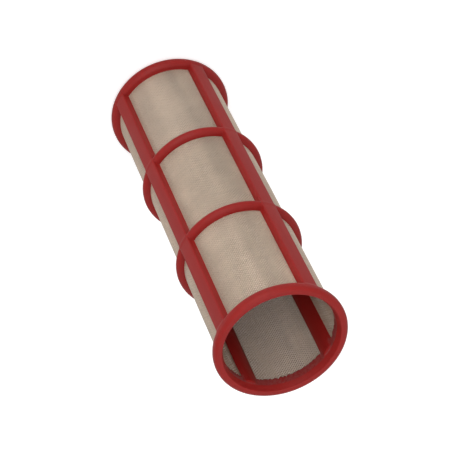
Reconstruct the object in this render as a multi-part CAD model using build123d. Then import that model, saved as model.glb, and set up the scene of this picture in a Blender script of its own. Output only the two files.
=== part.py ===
from build123d import *
import math
import os

# A line filter element: a cage moulded in one piece, with two end rings, two
# hoops and four ribs, and a rolled sleeve of woven wire cloth held inside it.
# It stands on its lower end ring. The origin is the centre of the lower end
# face and +Z runs up along the axis. All lengths are in millimetres, all
# angles in degrees. Angle 0 points along +X.

# The whole element
element_length = 117.5
rim_radius = 19.0

# End rings: a rounded bead outside, a short taper at the mouth of the bore,
# and a thin lip that runs on over the inner face of the cloth
ring_wall = 2.8
ring_height = 3.5
rim_round = 1.1
shoulder_bevel = 1.2
mouth_taper_width = 0.7
mouth_taper_depth = 2.0
lip_thickness = 0.22
lip_depth = 4.2

# Wire cloth: its own thickness, the play left round it in its seat, and how
# far its ends stay below the faces of the end rings. The ridges stand for the
# lengthwise wires and are wider apart than those.
cloth_thickness = 0.38
cloth_clearance = 0.03
cloth_inset = 2.6
ridge_pitch = 1.25
ridge_relief = 0.1
seam_gap = 0.3

# Gaps through the cloth, in a grid in each window of the cage
gap_width = 2.0
gap_columns = 2
gap_rows = 3

# Hoops: upright flanks and a crest with a bevel on each side, outside the cloth
hoop_count = 2
hoop_reach = 1.86
hoop_width = 3.1
hoop_bevel = 0.9

# Ribs: parallel sided outside, with a rounded back inside the cloth
rib_count = 4
first_rib_angle = 45.0
rib_width = 4.6
rib_reach = 1.92
rib_round = 0.35
inner_rib_width = 5.0
inner_rib_height = 0.82
inner_rib_end = 2.0
inner_rib_end_round = 0.8

# Radii, angles and lengths that follow from the sizes above
bore_radius = rim_radius - ring_wall
seat_inner_radius = bore_radius + lip_thickness
cloth_inner_radius = seat_inner_radius + cloth_clearance
cloth_outer_radius = cloth_inner_radius + cloth_thickness
seat_outer_radius = cloth_outer_radius + cloth_clearance
cloth_middle_radius = (cloth_inner_radius + cloth_outer_radius) / 2
seat_middle_radius = (seat_inner_radius + seat_outer_radius) / 2
rib_radius = seat_outer_radius + rib_reach
rib_angles = [first_rib_angle + 360 / rib_count * i for i in range(rib_count)]
window_angles = [angle + 180 / rib_count for angle in rib_angles]
window_length = (element_length - 2 * ring_height - hoop_count * hoop_width) / (hoop_count + 1)
window_pitch = window_length + hoop_width


def nearest_corner(section, x, y):
    """The corner of a flat section that lies nearest to a point."""
    return section.vertices().sort_by_distance((x, y, 0))[0]


def end_ring_section():
    """Half section of the lower end ring, radius across and height up."""
    bead = Pos(bore_radius, 0) * Rectangle(ring_wall, ring_height, align=Align.MIN)
    lip = Pos(bore_radius, 0) * Rectangle(lip_thickness, lip_depth, align=Align.MIN)
    section = bead + lip
    section = fillet(nearest_corner(section, rim_radius, 0), rim_round)
    section = chamfer(nearest_corner(section, rim_radius, ring_height), shoulder_bevel)
    mouth = Polyline(
        (bore_radius, 0), (bore_radius + mouth_taper_width, 0),
        (bore_radius, mouth_taper_depth), close=True)
    return section - make_face(mouth)


def lower_end_ring():
    return revolve(Plane.XZ * end_ring_section(), Axis.Z)


def upper_end_ring():
    middle = Plane.XY.offset(element_length / 2)
    return lower_end_ring().mirror(middle)


def hoop_section(height):
    """A band with both of its crest's edges bevelled and its flat side on the cloth."""
    band = Rectangle(hoop_reach, hoop_width, align=(Align.MIN, Align.CENTER))
    crest = band.vertices().sort_by(Axis.X)[-2:]
    return Pos(seat_outer_radius, height) * chamfer(crest, hoop_bevel)


def hoop(number):
    """One hoop, counted from 1 at the lower end."""
    middle = ring_height + window_pitch * number - hoop_width / 2
    return revolve(Plane.XZ * hoop_section(middle), Axis.Z)


def outer_rib(angle):
    """A rib along the outside of the cloth, from ring to ring."""
    ring = Circle(rib_radius) - Circle(seat_middle_radius)
    strip = Rectangle(rib_radius, rib_width, align=(Align.MIN, Align.CENTER))
    section = ring & strip
    section = fillet(section.vertices().sort_by(Axis.X)[-2:], rib_round)
    start = ring_height / 2
    bar = extrude(Pos(0, 0, start) * section, element_length - 2 * start)
    return Rot(0, 0, angle) * bar


def inner_rib(angle):
    """The rounded back of a rib, along the inside of the cloth."""
    crest = seat_inner_radius - inner_rib_height
    half_width = inner_rib_width / 2
    foot = math.sqrt(seat_inner_radius ** 2 - half_width ** 2)
    length = element_length - 2 * inner_rib_end
    back = ThreePointArc((foot, -half_width), (crest, 0), (foot, half_width))
    root = Polyline(
        (foot, half_width), (seat_middle_radius, half_width),
        (seat_middle_radius, -half_width), (foot, -half_width))
    bar = extrude(make_face(back + root), length)
    depth = seat_middle_radius - crest
    side = Rectangle(depth, length, align=Align.MIN)
    side = fillet(side.vertices().sort_by(Axis.X)[:2], inner_rib_end_round)
    side = Plane.XZ * Pos(crest, 0) * side
    slab = extrude(side, half_width, both=True)
    return Rot(0, 0, angle) * Pos(0, 0, inner_rib_end) * (bar & slab)


def cloth_seat():
    """The annular space that the cloth takes up inside the moulding."""
    ring = Circle(seat_outer_radius) - Circle(seat_inner_radius)
    return extrude(Pos(0, 0, cloth_inset) * ring, element_length - 2 * cloth_inset)


def cage():
    """The whole moulding, with the seat of the cloth taken out of it."""
    body = lower_end_ring() + upper_end_ring()
    body += [hoop(number) for number in range(1, hoop_count + 1)]
    body += [outer_rib(angle) for angle in rib_angles]
    body += [inner_rib(angle) for angle in rib_angles]
    return body - cloth_seat()


def ridge_points(low_radius, high_radius, start, sweep, count):
    """Points along one face of the sheet, with a crest at every other point."""
    points = []
    for i in range(2 * count + 1):
        radius = high_radius if i % 2 else low_radius
        turn = math.radians(start + sweep * i / (2 * count))
        points.append((radius * math.cos(turn), radius * math.sin(turn)))
    return points


def cloth_section():
    """Rolled sheet with ridges on both faces and its seam under a rib."""
    seam_angle = math.degrees(seam_gap / cloth_middle_radius)
    start = first_rib_angle + seam_angle / 2
    sweep = 360 - seam_angle
    count = round(2 * math.pi * cloth_middle_radius / ridge_pitch)
    outside = ridge_points(
        cloth_outer_radius - ridge_relief, cloth_outer_radius, start, sweep, count)
    inside = ridge_points(
        cloth_inner_radius, cloth_inner_radius + ridge_relief, start, sweep, count)
    return make_face(Polyline(*outside, *reversed(inside), close=True))


def cloth_gap(angle, height):
    """A square cutter through the wall of the cloth."""
    cutter = Box(2 * cloth_thickness, gap_width, gap_width)
    return Rot(0, 0, angle) * Pos(cloth_middle_radius, 0, height) * cutter


def cloth_gaps():
    """A grid of cutters in each window between the ribs and the hoops."""
    spread = 360 / rib_count - math.degrees(rib_width / cloth_middle_radius)
    cutters = []
    for bay in range(hoop_count + 1):
        for row in range(gap_rows):
            along = (row + 1) / (gap_rows + 1)
            height = ring_height + window_pitch * bay + window_length * along
            for window in window_angles:
                for column in range(gap_columns):
                    across = (column + 1) / (gap_columns + 1) - 0.5
                    cutters.append(cloth_gap(window + spread * across, height))
    return cutters


def wire_cloth():
    """The sleeve of cloth, a little shorter than the element."""
    sheet = extrude(Pos(0, 0, cloth_inset) * cloth_section(), element_length - 2 * cloth_inset)
    return sheet - cloth_gaps()


os.makedirs("parts", exist_ok=True)
export_step(cage(), "parts/cage.step")
export_step(wire_cloth(), "parts/wire_cloth.step")
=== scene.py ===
import bpy
import bmesh
import math
import numpy as np
from mathutils import Matrix, Vector


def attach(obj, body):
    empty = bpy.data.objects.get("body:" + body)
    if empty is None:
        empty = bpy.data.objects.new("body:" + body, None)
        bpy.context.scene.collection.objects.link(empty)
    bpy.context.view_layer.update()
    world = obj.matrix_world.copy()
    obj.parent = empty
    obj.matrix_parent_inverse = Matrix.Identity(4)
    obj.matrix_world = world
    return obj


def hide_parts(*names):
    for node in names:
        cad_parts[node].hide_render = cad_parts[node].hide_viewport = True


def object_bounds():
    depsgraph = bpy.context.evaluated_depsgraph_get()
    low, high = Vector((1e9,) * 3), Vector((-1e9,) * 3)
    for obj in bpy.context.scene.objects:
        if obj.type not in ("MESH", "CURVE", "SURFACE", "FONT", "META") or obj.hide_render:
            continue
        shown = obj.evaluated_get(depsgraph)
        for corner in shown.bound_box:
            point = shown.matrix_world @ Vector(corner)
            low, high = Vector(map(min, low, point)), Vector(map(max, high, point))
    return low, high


# A line filter element standing on its lower end ring: a red moulded cage
# and the woven wire cloth that it holds. Sizes below are in millimetres and
# angles in degrees, and the meshes are made in metres.

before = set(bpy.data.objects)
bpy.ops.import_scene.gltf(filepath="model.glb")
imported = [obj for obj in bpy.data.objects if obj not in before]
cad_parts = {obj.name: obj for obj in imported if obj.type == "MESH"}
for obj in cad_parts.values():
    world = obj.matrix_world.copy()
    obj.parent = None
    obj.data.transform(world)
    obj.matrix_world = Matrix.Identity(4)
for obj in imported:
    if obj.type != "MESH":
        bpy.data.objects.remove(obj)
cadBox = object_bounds()
mm = 0.001
elementLength = (cadBox[1].z - cadBox[0].z) / mm
rimRadius = (cadBox[1].x - cadBox[0].x) / 2 / mm
ribCount = 4
firstRibAngle = 45.0
windowTurn = 360.0 / ribCount
hoopCount = 2
print("frame loaded:", round(elementLength, 1), "mm long,", round(2 * rimRadius, 1), "mm across")


def smoothMax(a, b, blend):
    # the larger of two radii, with a fillet where they are nearly equal
    share = np.clip(0.5 + 0.5 * (b - a) / blend, 0.0, 1.0)
    return a * (1 - share) + b * share + blend * share * (1 - share)


def smoothMin(a, b, blend):
    return -smoothMax(-a, -b, blend)


def quarterTurn(count):
    # angles in radians from 0 to a right angle
    return np.linspace(0, math.pi / 2, count)


def onCylinder(radius, angle, height):
    # points in metres from a radius, an angle and a height
    turn = np.radians(angle)
    return np.stack([radius * np.cos(turn), radius * np.sin(turn), height], axis=-1) * mm


def addPiece(name, verts, faces):
    mesh = bpy.data.meshes.new(name)
    mesh.from_pydata(verts.tolist(), [], faces)
    piece = bpy.data.objects.new(name, mesh)
    bpy.context.scene.collection.objects.link(piece)
    return piece


def shadeSmooth(piece):
    polygons = piece.data.polygons
    polygons.foreach_set("use_smooth", [True] * len(polygons))


# The cage: one closed skin on a grid of columns round the axis and rows along
# it. The outer and the inner side share the grid, and each window's edges are
# closed from one side to the other.

cageSizes = {
    # the end rings' outer side
    "ringHeight": 3.5,
    "rimRound": 1.3,
    "shoulderRound": 1.75,
    "rimClearance": 0.002,  # keeps the rim inside the CAD box
    "toeReach": 0.4,  # two short steps take the ring's side down to the cloth
    "toeStart": 0.02,
    "toeEnd": 0.05,
    # the mouth, and the lip that runs on over the cloth
    "mouthRadius": 16.7,
    "mouthRound": 0.35,
    "taperDepth": 1.65,
    "taperRadius": 16.22,
    "lipRadius": 16.12,
    "lipStep": 0.12,
    "lipDepth": 4.35,
    "lipRows": (-0.75, -0.4, -0.18, 0.0, 0.3),  # rows of the mesh, from the lip's edge
    # the lip's ragged edge
    "lipRagged": 0.5,
    "raggedFade": 0.75,  # it starts this far before the lip's edge
    "raggedPast": 0.2,  # and ends this far after it
    "raggedThin": 0.35,  # how much of it thins the lip as well
    "raggedTeeth": 0.75,  # the share that differs from column to column
    "raggedWaves": 9,  # the longer waves round the axis
    "weakestWave": 0.4,
    "seed": 4,
    # the two faces of the skin beside the cloth
    "outerFoot": 16.68,
    "innerFoot": 16.42,
    # hoops
    "hoopInner": 16.56,  # a little inside the middle of the cloth
    "hoopCrest": 18.72,
    "hoopWidth": 3.1,
    # ribs and their backs
    "ribWidth": 4.6,
    "ribRadius": 18.78,
    "ribRound": 0.45,
    "backWidth": 5.0,
    "backTurn": -3.0,
    "backSquareness": 1.7,
    "backCrest": 15.6,
    "backStart": 2.0,
    "backEndRound": 0.9,
    # fillets where ribs, rings and hoops meet
    "fillet": 0.45,
    "filletStart": 0.15,
    "innerFillet": 0.12,
    # how fine the grid is
    "roundRows": 9,
    "mouthRows": 7,
    "hoopRows": 15,
    "bayRows": 7,
    "ribColumns": 6,
    "flankColumns": 5,
    "windowColumns": 44,
}


def hoopMiddle(sizes, number):
    # the windows are equally long, so this is where hoop number 1 or 2 sits
    window = (elementLength - 2 * sizes["ringHeight"] - hoopCount * sizes["hoopWidth"]) / (hoopCount + 1)
    return sizes["ringHeight"] + number * window + (number - 0.5) * sizes["hoopWidth"]


def ribOutline(sizes):
    # half of a rib's outer section, from its middle to its foot, as angle and radius
    half = sizes["ribWidth"] / 2
    corner = sizes["ribRound"]
    top = sizes["ribRadius"]
    cornerY = half - corner
    cornerX = math.sqrt((top - corner) ** 2 - cornerY ** 2)
    startTurn = math.atan2(cornerY, cornerX)
    footX = math.sqrt(sizes["outerFoot"] ** 2 - half ** 2)
    crown = np.linspace(0, startTurn, sizes["ribColumns"])
    edge = np.linspace(startTurn, math.pi / 2, sizes["ribColumns"])[1:]
    flank = np.linspace(cornerX, footX, sizes["flankColumns"])[1:]
    points = [(top * math.cos(t), top * math.sin(t)) for t in crown]
    points += [(cornerX + corner * math.cos(t), cornerY + corner * math.sin(t)) for t in edge]
    points += [(x, half) for x in flank]
    return [(math.degrees(math.atan2(y, x)), math.hypot(x, y)) for x, y in points]


def backOutline(sizes, count):
    # half of a rib's rounded back, from its crest to its foot, in count points
    half = sizes["backWidth"] / 2
    footX = math.sqrt(sizes["innerFoot"] ** 2 - half ** 2)
    rise = footX - sizes["backCrest"]
    power = sizes["backSquareness"]
    points = []
    for t in quarterTurn(count):
        y = half * math.sin(t)
        x = footX - rise * (1 - (y / half) ** power) ** (1 / power)
        points.append((math.degrees(math.atan2(y, x)), math.hypot(x, y)))
    return points


def cageColumns(sizes):
    # each column's angle and radius outside, the same inside, and whether the strip from it to
    # the next column is in a window
    outer = ribOutline(sizes)
    inner = backOutline(sizes, len(outer))
    outerEdge, innerEdge = outer[-1][0], inner[-1][0]
    pairs = list(zip(outer, inner))
    steps = np.linspace(0, 1, sizes["windowColumns"] + 1)[:-1]
    columns = []
    for rib in range(ribCount):
        middle = firstRibAngle + windowTurn * rib
        turned = middle + sizes["backTurn"]
        for (angle, top), (backAngle, back) in reversed(pairs[1:]):
            columns.append((middle - angle, top, turned - backAngle, back, False))
        for (angle, top), (backAngle, back) in pairs[:-1]:
            columns.append((middle + angle, top, turned + backAngle, back, False))
        for step in steps:
            outerAngle = middle + outerEdge + (windowTurn - 2 * outerEdge) * step
            innerAngle = turned + innerEdge + (windowTurn - 2 * innerEdge) * step
            columns.append((outerAngle, sizes["outerFoot"], innerAngle, sizes["innerFoot"], True))
    return columns


def ringOuterLine(sizes):
    # height and radius up the outside of the lower end ring, and on past the lip's edge
    edge = sizes["rimRound"]
    shoulder = sizes["shoulderRound"]
    ring = sizes["ringHeight"]
    foot = sizes["outerFoot"]
    turns = quarterTurn(sizes["roundRows"])
    line = [(edge * (1 - math.cos(t)), rimRadius - edge * (1 - math.sin(t))) for t in turns]
    line += [(ring - shoulder + shoulder * math.sin(t), rimRadius - shoulder * (1 - math.cos(t)))
             for t in turns]
    line += [(ring + sizes["toeStart"], foot + sizes["toeReach"]), (ring + sizes["toeEnd"], foot)]
    line += [(sizes["lipDepth"] + row, foot) for row in sizes["lipRows"]]
    return line


def ringInnerLine(sizes):
    # height and radius up the inside of the lower end ring, from its mouth to the lip's edge
    mouth = sizes["mouthRound"]
    step = sizes["lipStep"]
    taper = sizes["taperDepth"]
    taperRadius = sizes["taperRadius"]
    line = [(mouth * (1 - math.cos(t)), sizes["mouthRadius"] + mouth * (1 - math.sin(t)))
            for t in quarterTurn(sizes["mouthRows"])]
    line += [(taper - step, taperRadius), (taper, taperRadius - step / 4)]
    line += [(taper + step, sizes["lipRadius"]), (sizes["lipDepth"], sizes["lipRadius"])]
    return line


def ringRows(sizes):
    # height, outer radius and inner radius of the rows of the lower end ring
    outerHeights, outerRadii = zip(*ringOuterLine(sizes))
    innerHeights, innerRadii = zip(*ringInnerLine(sizes))
    heights = sorted(set(outerHeights + innerHeights))
    outer = np.interp(heights, outerHeights, outerRadii)
    inner = np.interp(heights, innerHeights, innerRadii)
    return list(zip(heights, outer, inner))


def cageRows(sizes):
    # every row of the cage, as height, outer radius and inner radius
    foot = sizes["outerFoot"]
    half = sizes["hoopWidth"] / 2
    low = ringRows(sizes)
    high = [(elementLength - height, outer, inner) for height, outer, inner in reversed(low)]
    hoopTurns = np.linspace(-math.pi / 2, math.pi / 2, sizes["hoopRows"])

    def plainRows(start, stop):
        heights = np.linspace(start, stop, sizes["bayRows"] + 1)[1:-1]
        return [(height, foot, sizes["innerFoot"]) for height in heights]

    rows = list(low)
    start = low[-1][0]
    for number in range(1, hoopCount + 1):
        middle = hoopMiddle(sizes, number)
        rows += plainRows(start, middle - half)
        rows += [(middle + half * math.sin(t), foot + (sizes["hoopCrest"] - foot) * math.cos(t),
                  sizes["hoopInner"]) for t in hoopTurns]
        start = middle + half
    return rows + plainRows(start, high[0][0]) + high


def bays(sizes):
    # the heights between which each bay of windows is open, outside and inside
    half = sizes["hoopWidth"] / 2
    footHeight = sizes["ringHeight"] + sizes["toeEnd"]
    hoops = [hoopMiddle(sizes, number) for number in range(1, hoopCount + 1)]
    lows = [footHeight] + [hoop + half for hoop in hoops]
    highs = [hoop - half for hoop in hoops] + [elementLength - footHeight]
    innerLows = [sizes["lipDepth"]] + lows[1:]
    innerHighs = highs[:-1] + [elementLength - sizes["lipDepth"]]
    return list(zip(lows, highs)), list(zip(innerLows, innerHighs))


def outerSkin(sizes, nearEnd, rowOuter, ribTop):
    # radii outside: the rings and hoops with the ribs, joined by fillets
    foot = sizes["outerFoot"]
    fall = np.clip(nearEnd / sizes["rimRound"], 0, 1)
    rib = np.where(nearEnd < sizes["rimRound"], foot + (ribTop - foot) * fall, ribTop)
    bothHigh = np.minimum(rowOuter, rib) > foot + sizes["filletStart"]
    joined = smoothMax(rowOuter, rib, sizes["fillet"])
    outer = np.where(bothHigh, joined, np.maximum(rowOuter, rib))
    return np.minimum(outer, rimRadius - sizes["rimClearance"])


def innerSkin(sizes, nearEnd, rowInner, ribBack):
    # radii inside: the backs of the ribs rise from the lip with rounded ends
    grow = np.clip((nearEnd - sizes["backStart"]) / sizes["backEndRound"], 0, 1)
    rise = np.sqrt(1 - (1 - grow) ** 2)
    back = sizes["innerFoot"] - (sizes["innerFoot"] - ribBack) * rise
    return np.where(rise > 0, smoothMin(rowInner, back, sizes["innerFillet"]), rowInner)


def wander(rng, sizes, count):
    # a gentle closed wave round the axis, between about -1 and 1
    turn = np.linspace(0, 2 * np.pi, count, endpoint=False)
    line = np.zeros(count)
    for n in range(1, sizes["raggedWaves"] + 1):
        phase = rng.uniform(0, 2 * np.pi)
        line += np.cos(n * turn + phase) * rng.uniform(sizes["weakestWave"], 1.0)
    return line / sizes["raggedWaves"]


def raggedEdge(sizes, heights, nearEnd, inner, inWindow):
    # the ragged edge of each lip, where the plastic ran into the cloth: the skin's inner
    # radii and heights after it
    rng = np.random.default_rng(sizes["seed"])
    count = len(inWindow)
    teeth = rng.uniform(-1, 1, (2, count)) * sizes["raggedTeeth"]
    waves = np.stack([wander(rng, sizes, count) for _ in range(2)])
    ragged = (teeth + waves) * sizes["lipRagged"] * inWindow
    depth, fade = sizes["lipDepth"], sizes["raggedFade"]
    lowerHalf = heights < elementLength / 2
    for line, flip, half in ((ragged[0], 1, lowerHalf), (ragged[1], -1, ~lowerHalf)):
        reach = np.where(half, nearEnd, 0)
        share = np.clip((reach - (depth - fade)) / fade, 0, 1) * (reach < depth + sizes["raggedPast"])
        heights = heights + flip * share * line[:, None]
        inner = inner + share ** 2 * np.abs(line[:, None]) * sizes["raggedThin"]
    return inner, heights


def skinFaces(grid, rowHeights, inWindow, outerBays, innerBays):
    # the faces of both sides, left out where a window is open, and the two end faces
    outside, inside = grid
    count, rowCount = len(outside), len(rowHeights)

    def opened(column, row, spans):
        middle = (rowHeights[row] + rowHeights[row + 1]) / 2
        return inWindow[column] and any(low < middle < high for low, high in spans)

    faces = []
    for column in range(count):
        beside = (column + 1) % count
        for row in range(rowCount - 1):
            if not opened(column, row, outerBays):
                faces.append([outside[column][row], outside[beside][row],
                              outside[beside][row + 1], outside[column][row + 1]])
            if not opened(column, row, innerBays):
                faces.append([inside[column][row], inside[column][row + 1],
                              inside[beside][row + 1], inside[beside][row]])
        for row in (0, rowCount - 1):
            faces.append([outside[column][row], outside[beside][row],
                          inside[beside][row], inside[column][row]])
    return faces


def windowLoop(start, stop, low, high):
    # the grid's points round one window, as column and row, back to where they began
    loop = [(column, low) for column in range(start, stop + 1)]
    loop += [(stop, row) for row in range(low + 1, high + 1)]
    loop += [(column, high) for column in range(stop - 1, start - 1, -1)]
    loop += [(start, row) for row in range(high - 1, low - 1, -1)]
    return loop


def windowEdges(grid, rowHeights, inWindow, outerBays, innerBays):
    # the edges of the windows, from the outer side to the inner one, whose opening is shorter
    # where the lip runs on
    outside, inside = grid
    count = len(outside)

    def rowAt(height):
        return int(np.argmin(np.abs(rowHeights - height)))

    faces = []
    starts = [i for i in range(count) if inWindow[i] and not inWindow[i - 1]]
    for start in starts:
        stop = start
        while inWindow[stop % count]:
            stop += 1
        for (low, high), (innerLow, innerHigh) in zip(outerBays, innerBays):
            first, last = rowAt(innerLow), rowAt(innerHigh)
            loop = windowLoop(start, stop, rowAt(low), rowAt(high))
            outer = [outside[column % count][row] for column, row in loop]
            inner = [inside[column % count][min(max(row, first), last)] for column, row in loop]
            for a, b, c, d in zip(outer, inner, inner[1:], outer[1:]):
                faces.append([a, b, c, d] if b != c else [a, b, d])
    return faces


def buildCage(sizes):
    outerAngle, ribTop, innerAngle, ribBack, inWindow = (
        np.array(values) for values in zip(*cageColumns(sizes)))
    rowHeights, rowOuter, rowInner = (np.array(values) for values in zip(*cageRows(sizes)))
    nearEnd = np.minimum(rowHeights, elementLength - rowHeights)
    outer = outerSkin(sizes, nearEnd, rowOuter, ribTop[:, None])
    inner = innerSkin(sizes, nearEnd, rowInner, ribBack[:, None])
    inner, innerHeights = raggedEdge(sizes, rowHeights, nearEnd, inner, inWindow)
    every = np.ones_like(outer)
    verts = np.concatenate([
        onCylinder(outer, outerAngle[:, None] * every, rowHeights * every).reshape(-1, 3),
        onCylinder(inner, innerAngle[:, None] * every, innerHeights).reshape(-1, 3)])
    grid = np.arange(len(verts)).reshape(2, *outer.shape).tolist()
    parts = (grid, rowHeights, inWindow, *bays(sizes))
    piece = addPiece("cage_moulding", verts, skinFaces(*parts) + windowEdges(*parts))
    form = bmesh.new()
    form.from_mesh(piece.data)
    loose = [vert for vert in form.verts if not vert.link_faces]
    bmesh.ops.delete(form, geom=loose, context="VERTS")
    bmesh.ops.recalc_face_normals(form, faces=form.faces)
    form.to_mesh(piece.data)
    form.free()
    shadeSmooth(piece)
    return piece


# The wire cloth: real wires, woven over and under, in one panel for each
# column of windows. The panels run a little way into the plastic.

clothSizes = {
    "middleRadius": 16.64,
    "wireWidth": 0.38,
    "wireThickness": 0.12,
    "wirePitch": 0.46,
    "weaveRise": 0.045,
    "unevenness": 0.012,  # how far a wire strays from its even place
    "endInset": 3.4,
    "underRib": 0.4,
    "bulge": 0.12,
    "bulgeRange": (-0.3, 1.0),
    "bulgeShape": 1.5,
    "seed": 11,
}


def clothRadius(sizes, angle, height, across, rng):
    # the sheet bows a little between the ribs, the hoops and the rings
    radius = np.full(angle.shape, sizes["middleRadius"])
    lift = np.sin(np.pi * np.clip(across, 0, 1)) ** sizes["bulgeShape"]
    for low, high in bays(cageSizes)[0]:
        amount = rng.uniform(*sizes["bulgeRange"]) * sizes["bulge"]
        span = np.clip((2 * height - low - high) / (high - low), -1, 1)
        radius = radius + amount * lift * np.cos(np.pi / 2 * span)
    return radius


def wireCrossings(sizes, number):
    # the angle, height and radius at which the wires of one panel cross, as grids across and
    # along it, and the share of the panel's width at each
    rng = np.random.default_rng(sizes["seed"] + number)
    middle = firstRibAngle + windowTurn * (number + 0.5)
    ribHalf = math.degrees(math.asin(cageSizes["ribWidth"] / 2 / sizes["middleRadius"]))
    under = math.degrees(sizes["underRib"] / sizes["middleRadius"])
    sweep = windowTurn - 2 * ribHalf + 2 * under
    acrossCount = round(math.radians(sweep) * sizes["middleRadius"] / sizes["wirePitch"]) + 1
    tall = elementLength - 2 * sizes["endInset"]
    alongCount = round(tall / sizes["wirePitch"]) + 1
    angles = middle + np.linspace(-sweep / 2, sweep / 2, acrossCount)
    heights = sizes["endInset"] + np.linspace(0, tall, alongCount)
    angle, height = np.meshgrid(angles, heights, indexing="ij")
    share = (angle - middle) / (sweep - 2 * under) + 0.5
    radius = clothRadius(sizes, angle, height, share, rng)
    # each wire strays a little from its even place
    sideways = rng.normal(0, sizes["unevenness"], (acrossCount, 1))
    angle = angle + np.degrees(sideways / sizes["middleRadius"])
    height = height + rng.normal(0, sizes["unevenness"], (1, alongCount))
    across = np.clip((angle - angles[0]) / (angles[-1] - angles[0]), 0, 1)
    return angle, height, radius, across


def wireRing(centre, outward, sideways):
    # four corners round each point of the wires
    corners = [centre + outward, centre + sideways, centre - outward, centre - sideways]
    return np.stack(corners, axis=-2).reshape(-1, 3)


def wireVerts(sizes, angle, height, radius):
    # the lengthwise wires, then the crosswise ones, each over and under the other in turn
    across, along = np.indices(angle.shape)
    rise = np.where((across + along) % 2 == 0, 1.0, -1.0) * sizes["weaveRise"]
    turn = np.radians(angle)
    level = np.zeros_like(turn)
    outward = np.stack([np.cos(turn), np.sin(turn), level], axis=-1) * sizes["wireThickness"] / 2 * mm
    onward = np.stack([-np.sin(turn), np.cos(turn), level], axis=-1)
    upward = np.array([0.0, 0.0, 1.0])
    halfWidth = sizes["wireWidth"] / 2 * mm
    lengthwise = wireRing(onCylinder(radius + rise, angle, height), outward, onward * halfWidth)
    crosswise = wireRing(onCylinder(radius - rise, angle, height), outward, upward * halfWidth)
    return np.concatenate([lengthwise, crosswise])


def wireFaces(shape):
    # four sides to each stretch of wire between two crossings, and a face on each wire's ends
    base = np.arange(math.prod(shape)).reshape(shape) * 4
    crosswise = base.size * 4
    stretches = ((base[:, :-1], base[:, 1:], 0), (base[:-1, :], base[1:, :], crosswise))
    ends = ((base[:, 0], 0), (base[:, -1], 0), (base[0, :], crosswise), (base[-1, :], crosswise))
    faces = []
    for start, stop, shift in stretches:
        for corner in range(4):
            beside = (corner + 1) % 4
            side = np.stack([start + corner, start + beside, stop + beside, stop + corner], axis=-1)
            faces.append(side.reshape(-1, 4) + shift)
    for row, shift in ends:
        faces.append(np.stack([row, row + 1, row + 2, row + 3], axis=-1) + shift)
    return np.concatenate(faces)


def layTexture(piece, faces, across, along):
    # two halves of one sheet of texture, for the outward and the inward faces
    half = 0.48  # a little less, so that the two don't touch
    layer = piece.data.uv_layers.new(name="OFBake")
    across, along = (np.tile(np.repeat(share.ravel(), 4), 2) for share in (across, along))
    cornerSide = np.tile([1.0, 0.0, -1.0, 0.0], len(across) // 4)
    outward = np.repeat(cornerSide[faces].sum(axis=1) > 0, 4)
    used = faces.ravel()
    u = across[used] * half + np.where(outward, 0.0, 1 - half)
    layer.data.foreach_set("uv", np.stack([u, along[used]], axis=-1).ravel())


def buildPanel(sizes, number):
    angle, height, radius, across = wireCrossings(sizes, number)
    faces = wireFaces(angle.shape)
    verts = wireVerts(sizes, angle, height, radius)
    piece = addPiece(f"wire_cloth_{number + 1}", verts, faces.tolist())
    shadeSmooth(piece)
    layTexture(piece, faces, across, height / elementLength)
    return piece


# Materials

def addGroup(name, inputs, outputs):
    # an empty node group with named sockets, and its two end nodes
    group = bpy.data.node_groups.new(name, "ShaderNodeTree")
    kinds = {"color": "NodeSocketColor", "value": "NodeSocketFloat", "vector": "NodeSocketVector"}
    for label, kind, start in inputs:
        socket = group.interface.new_socket(name=label, in_out="INPUT", socket_type=kinds[kind])
        socket.default_value = start
    for label, kind in outputs:
        group.interface.new_socket(name=label, in_out="OUTPUT", socket_type=kinds[kind])
    return group, group.nodes.new("NodeGroupInput"), group.nodes.new("NodeGroupOutput")


def feed(tree, socket, source):
    # a link from another socket, or a plain value
    if isinstance(source, bpy.types.NodeSocket):
        tree.links.new(source, socket)
    else:
        socket.default_value = source


def addMath(tree, operation, first, second=0.0):
    node = tree.nodes.new("ShaderNodeMath")
    node.operation = operation
    feed(tree, node.inputs[0], first)
    feed(tree, node.inputs[1], second)
    return node.outputs[0]


def addStep(tree, source, low, high):
    # 0 at low and 1 at high, smooth between them
    node = tree.nodes.new("ShaderNodeMapRange")
    node.interpolation_type = "SMOOTHSTEP"
    tree.links.new(source, node.inputs["Value"])
    node.inputs["From Min"].default_value = low
    node.inputs["From Max"].default_value = high
    return node.outputs["Result"]


def addNoise(tree, vector, scale, detail):
    node = tree.nodes.new("ShaderNodeTexNoise")
    node.inputs["Detail"].default_value = detail
    tree.links.new(vector, node.inputs["Vector"])
    feed(tree, node.inputs["Scale"], scale)
    return node.outputs["Fac"]


def addSwing(tree, noise, amount):
    # noise from 0 to 1 as a change of up to half the amount either way
    return addMath(tree, "MULTIPLY", addMath(tree, "SUBTRACT", noise, 0.5), amount)


def addTint(tree, color, change):
    # the colour made brighter or darker by a change, where 0 leaves it alone
    node = tree.nodes.new("ShaderNodeVectorMath")
    node.operation = "SCALE"
    tree.links.new(color, node.inputs[0])
    tree.links.new(addMath(tree, "ADD", change, 1.0), node.inputs["Scale"])
    return node.outputs["Vector"]


def objectPlace(tree):
    # the point's own place on the object, in metres
    return tree.nodes.new("ShaderNodeTexCoord").outputs["Object"]


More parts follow.
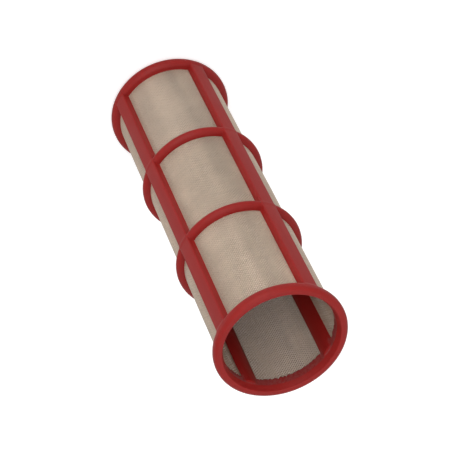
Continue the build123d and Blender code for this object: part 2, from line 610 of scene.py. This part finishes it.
def buildUnevenGroup():
    # patches and grain for any finish: a changed colour, a changed roughness and a height
    group, enter, leave = addGroup("unevenFinish", [
        ("Color", "color", (0.5, 0.5, 0.5, 1)), ("Roughness", "value", 0.4),
        ("Patch Scale", "value", 60.0), ("Patch Amount", "value", 0.1),
        ("Grain Scale", "value", 1500.0), ("Grain Amount", "value", 0.05),
    ], [("Color", "color"), ("Roughness", "value"), ("Height", "value")])
    given = enter.outputs
    place = objectPlace(group)
    patch = addNoise(group, place, given["Patch Scale"], detail=3)
    grain = addNoise(group, place, given["Grain Scale"], detail=4)
    patchPart = addSwing(group, patch, given["Patch Amount"])
    grainPart = addSwing(group, grain, given["Grain Amount"])
    change = addMath(group, "ADD", patchPart, grainPart)
    roughness = addMath(group, "ADD", given["Roughness"], change)
    group.links.new(addTint(group, given["Color"], change), leave.inputs["Color"])
    group.links.new(roughness, leave.inputs["Roughness"])
    group.links.new(grain, leave.inputs["Height"])
    return group


def buildStreakGroup():
    # soft streaks: noise drawn out by an uneven stretch of the object's own axes
    group, enter, leave = addGroup("drawnStreaks", [
        ("Color", "color", (0.5, 0.5, 0.5, 1)), ("Stretch", "vector", (1, 1, 1)),
        ("Scale", "value", 300.0), ("Amount", "value", 0.1),
    ], [("Color", "color")])
    given = enter.outputs
    drawn = group.nodes.new("ShaderNodeVectorMath")
    drawn.operation = "MULTIPLY"
    group.links.new(objectPlace(group), drawn.inputs[0])
    group.links.new(given["Stretch"], drawn.inputs[1])
    streak = addNoise(group, drawn.outputs["Vector"], given["Scale"], detail=2)
    change = addSwing(group, streak, given["Amount"])
    group.links.new(addTint(group, given["Color"], change), leave.inputs["Color"])
    return group


# Where the cloth shows through the lip. Each pair is where the mask is 0 and
# where it is 1.
lipBand = {
    "offWall": (0.1, -0.05),  # from the wall's radius
    "offRib": (15.8, 16.1),  # from the axis
    "pastStep": (0.0, 0.5),  # from the step in the wall
    "beforeCloth": (5.6, 4.6),  # from the end face
    "grain": (0.2, 0.7),  # of the noise that breaks it up
}


def buildLipGroup(band, sizes):
    # a mask of the thin lip inside each mouth, where the cloth shows through the plastic
    group, enter, leave = addGroup("lipMask", [("Grain Scale", "value", 1500.0)], [("Mask", "value")])
    place = objectPlace(group)
    parts = group.nodes.new("ShaderNodeSeparateXYZ")
    group.links.new(place, parts.inputs[0])
    x, y, z = (parts.outputs[axis] for axis in "XYZ")
    squares = addMath(group, "ADD", addMath(group, "MULTIPLY", x, x), addMath(group, "MULTIPLY", y, y))
    radius = addMath(group, "SQRT", squares)
    nearEnd = addMath(group, "MINIMUM", z, addMath(group, "SUBTRACT", elementLength * mm, z))
    grain = addNoise(group, place, enter.outputs["Grain Scale"], detail=3)

    def step(source, name, start, unit):
        low, high = band[name]
        return addStep(group, source, (start + low) * unit, (start + high) * unit)

    mask = step(radius, "offWall", sizes["taperRadius"], mm)
    for other in (
            step(nearEnd, "pastStep", sizes["taperDepth"], mm),
            step(nearEnd, "beforeCloth", 0, mm),
            step(radius, "offRib", 0, mm),
            step(grain, "grain", 0, 1)):
        mask = addMath(group, "MULTIPLY", mask, other)
    group.links.new(mask, leave.inputs["Mask"])
    return group


def newMaterial(name):
    made = bpy.data.materials.new(name)
    made.use_nodes = True
    return made, made.node_tree


def setInputs(node, values):
    for name, value in values.items():
        node.inputs[name].default_value = value


def addGroupNode(tree, group, values):
    node = tree.nodes.new("ShaderNodeGroup")
    node.node_tree = group
    setInputs(node, values)
    return node


def addColorMix(tree, mask, first, second):
    # from the first colour to the second by a mask
    node = tree.nodes.new("ShaderNodeMix")
    node.data_type = "RGBA"
    colorSockets = [socket for socket in node.inputs if socket.type == "RGBA"]
    tree.links.new(mask, node.inputs["Factor"])
    for socket, source in zip(colorSockets, (first, second)):
        feed(tree, socket, source)
    return next(socket for socket in node.outputs if socket.type == "RGBA")


def finishSurface(tree, color, look, unevenGroup):
    # the uneven finish over a colour, then the shader's own settings
    shader = tree.nodes["Principled BSDF"]
    uneven = addGroupNode(tree, unevenGroup, {
        "Roughness": look["roughness"],
        "Patch Scale": look["patchScale"], "Patch Amount": look["patchAmount"],
        "Grain Scale": look["grainScale"], "Grain Amount": look["grainAmount"]})
    tree.links.new(color, uneven.inputs["Color"])
    bump = tree.nodes.new("ShaderNodeBump")
    setInputs(bump, {"Strength": look["bump"], "Distance": look["bumpHeight"] * mm})
    tree.links.new(uneven.outputs["Color"], shader.inputs["Base Color"])
    tree.links.new(uneven.outputs["Roughness"], shader.inputs["Roughness"])
    tree.links.new(uneven.outputs["Height"], bump.inputs["Height"])
    tree.links.new(bump.outputs["Normal"], shader.inputs["Normal"])
    setInputs(shader, {"Metallic": look["metallic"], "Specular IOR Level": look["specular"]})


redPlastic = {
    "color": (0.27, 0.011, 0.009, 1),
    "lipColor": (0.26, 0.050, 0.048, 1),
    "lipGrain": 1500.0,
    "streakStretch": (1, 1, 0.06),
    "streakScale": 700.0,
    "streakAmount": 0.24,
    "roughness": 0.48,
    "specular": 0.20,
    "metallic": 0.0,
    "glowThrough": 0.25,
    "glowDepth": 1.5,
    "glowColor": (1.0, 0.15, 0.1),
    "patchScale": 60.0,
    "patchAmount": 0.22,
    "grainScale": 2600.0,
    "grainAmount": 0.10,
    "bump": 0.10,
    "bumpHeight": 0.1,
}


def buildPlastic(look, unevenGroup, streakGroup, lipGroup):
    made, tree = newMaterial("redPlastic")
    streaks = addGroupNode(tree, streakGroup, {
        "Color": look["color"], "Stretch": look["streakStretch"],
        "Scale": look["streakScale"], "Amount": look["streakAmount"]})
    lip = addGroupNode(tree, lipGroup, {"Grain Scale": look["lipGrain"]})
    color = addColorMix(tree, lip.outputs["Mask"], streaks.outputs["Color"], look["lipColor"])
    finishSurface(tree, color, look, unevenGroup)
    setInputs(tree.nodes["Principled BSDF"], {
        "Subsurface Weight": look["glowThrough"], "Subsurface Scale": look["glowDepth"] * mm,
        "Subsurface Radius": look["glowColor"]})
    return made


steelWire = {
    "color": (0.53, 0.425, 0.335, 1),
    # long bands of painted shade and painted highlight along the cloth, standing in for the shading and
    # sheen of folds
    "paintedFoldShadingStretch": (1, 1, 0.08),
    "paintedFoldShadingScale": 130.0,
    "paintedFoldShadingAmount": 0.70,
    "weftStretch": (0.1, 0.1, 1),
    "weftScale": 1300.0,
    "weftAmount": 0.22,
    "roughness": 0.44,
    "specular": 0.3,
    "metallic": 0.55,
    "patchScale": 90.0,
    "patchAmount": 0.30,
    "grainScale": 900.0,
    "grainAmount": 0.20,
    "bump": 0.05,
    "bumpHeight": 0.1,
}


def buildCloth(look, unevenGroup, streakGroup):
    made, tree = newMaterial("steelWire")
    # painted shade and painted highlight in long bands along the cloth, where folds and sheen would
    # shade it
    paintedFoldShading = addGroupNode(tree, streakGroup, {
        "Color": look["color"], "Stretch": look["paintedFoldShadingStretch"],
        "Scale": look["paintedFoldShadingScale"], "Amount": look["paintedFoldShadingAmount"]})
    wefts = addGroupNode(tree, streakGroup, {
        "Stretch": look["weftStretch"], "Scale": look["weftScale"], "Amount": look["weftAmount"]})
    tree.links.new(paintedFoldShading.outputs["Color"], wefts.inputs["Color"])
    finishSurface(tree, wefts.outputs["Color"], look, unevenGroup)
    return made


# Camera, floor and light. The floor and the lamps are in metres and watts.

cameraView = {
    "aimHeight": 65.40,
    "aimAcross": -0.567,
    "distance": 516.73,
    "azimuth": 2.16,
    "elevation": 49.19,
    "roll": 154.20,
    "lens": 140.0,
    "clipStart": 10.0,
}


def buildCamera(view):
    azimuth = math.radians(view["azimuth"])
    elevation = math.radians(view["elevation"])
    roll = math.radians(view["roll"])
    back = Vector((math.sin(azimuth) * math.cos(elevation),
                   -math.cos(azimuth) * math.cos(elevation), math.sin(elevation)))
    levelRight = Vector((math.cos(azimuth), math.sin(azimuth), 0))
    levelUp = back.cross(levelRight)
    right = levelRight * math.cos(roll) + levelUp * math.sin(roll)
    up = back.cross(right)
    place = Vector((view["aimAcross"], 0, view["aimHeight"])) * mm + back * view["distance"] * mm
    turn = Matrix((right, up, back)).transposed().to_4x4()
    lens = bpy.data.cameras.new("camera")
    lens.lens = view["lens"]
    lens.clip_start = view["clipStart"] * mm
    camera = bpy.data.objects.new("camera", lens)
    bpy.context.scene.collection.objects.link(camera)
    camera.matrix_world = Matrix.Translation(place) @ turn
    bpy.context.scene.camera = camera


studio = {
    "floorSize": 3.0,
    "floorColor": (0.80, 0.80, 0.80, 1),
    "floorRoughness": 0.9,
    "floorLift": 0.45,
    "worldLevel": 0.51,
}

lamps = [
    {"name": "keyLamp", "from": (0.03, -0.68, 0.74), "size": 0.6, "power": 3.2, "gloss": 1.0},
    {"name": "lowLamp", "from": (0.0, -0.86, 0.14), "size": 0.5, "power": 1.8, "gloss": 1.0},
    {"name": "sideLamp", "from": (0.8, -0.4, 0.25), "size": 0.5, "power": 0.35, "gloss": 1.0},
    {"name": "topLamp", "from": (0.0, 0.10, 1.00), "size": 0.5, "power": 2.1, "gloss": 0.3},
]


def buildFloor(look):
    # a plain pale floor, lifted towards white for the camera alone
    half = look["floorSize"] / 2
    corners = np.array([(-half, -half, 0), (half, -half, 0), (half, half, 0), (-half, half, 0)])
    floor = addPiece("studio_floor", corners, [[0, 1, 2, 3]])
    made, tree = newMaterial("studioFloor")
    shader = tree.nodes["Principled BSDF"]
    setInputs(shader, {"Base Color": look["floorColor"], "Roughness": look["floorRoughness"]})
    path = tree.nodes.new("ShaderNodeLightPath")
    glow = tree.nodes.new("ShaderNodeEmission")
    both = tree.nodes.new("ShaderNodeAddShader")
    lift = addMath(tree, "MULTIPLY", path.outputs["Is Camera Ray"], look["floorLift"])
    tree.links.new(lift, glow.inputs["Strength"])
    tree.links.new(shader.outputs[0], both.inputs[0])
    tree.links.new(glow.outputs[0], both.inputs[1])
    tree.links.new(both.outputs[0], tree.nodes["Material Output"].inputs["Surface"])
    floor.data.materials.append(made)
    return floor


def buildWorld(look):
    # soft light from all round, which the camera, mirrors and glass see as plain white
    world = bpy.data.worlds.new("studioWorld")
    bpy.context.scene.world = world
    world.use_nodes = True
    tree = world.node_tree
    backdrop = tree.nodes["Background"]
    path = tree.nodes.new("ShaderNodeLightPath").outputs
    seen = addMath(tree, "MAXIMUM", path["Is Camera Ray"], path["Is Glossy Ray"])
    seen = addMath(tree, "MAXIMUM", seen, path["Is Transmission Ray"])
    strength = tree.nodes.new("ShaderNodeMapRange")
    setInputs(strength, {"To Min": look["worldLevel"], "To Max": 1.0})
    tree.links.new(seen, strength.inputs["Value"])
    tree.links.new(strength.outputs["Result"], backdrop.inputs["Strength"])
    backdrop.inputs["Color"].default_value = (1, 1, 1, 1)


def buildLamps(rows):
    aim = Vector((0, 0, elementLength / 2 * mm))
    for row in rows:
        light = bpy.data.lights.new(row["name"], "AREA")
        light.shape = "DISK"
        light.size = row["size"]
        light.energy = row["power"]
        light.specular_factor = row["gloss"]
        lamp = bpy.data.objects.new(row["name"], light)
        bpy.context.scene.collection.objects.link(lamp)
        lamp.location = Vector(row["from"])
        lamp.rotation_mode = "QUATERNION"
        lamp.rotation_quaternion = (aim - lamp.location).to_track_quat("-Z", "Y")


buildCamera(cameraView)
print("camera placed")

unevenGroup = buildUnevenGroup()
streakGroup = buildStreakGroup()
lipGroup = buildLipGroup(lipBand, cageSizes)
redFinish = buildPlastic(redPlastic, unevenGroup, streakGroup, lipGroup)
steelFinish = buildCloth(steelWire, unevenGroup, streakGroup)
print("materials made")

cage = buildCage(cageSizes)
cage.data.materials.append(redFinish)
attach(cage, "root")
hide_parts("cage")
print("cage made:", len(cage.data.polygons), "faces")

for number in range(ribCount):
    panel = buildPanel(clothSizes, number)
    panel.data.materials.append(steelFinish)
    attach(panel, "root")
    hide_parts("wire_cloth")
    print("cloth panel", number + 1, "made:", len(panel.data.polygons), "faces")

floor = buildFloor(studio)
buildWorld(studio)
buildLamps(lamps)
bpy.context.scene.view_settings.view_transform = "Standard"
print("studio made")
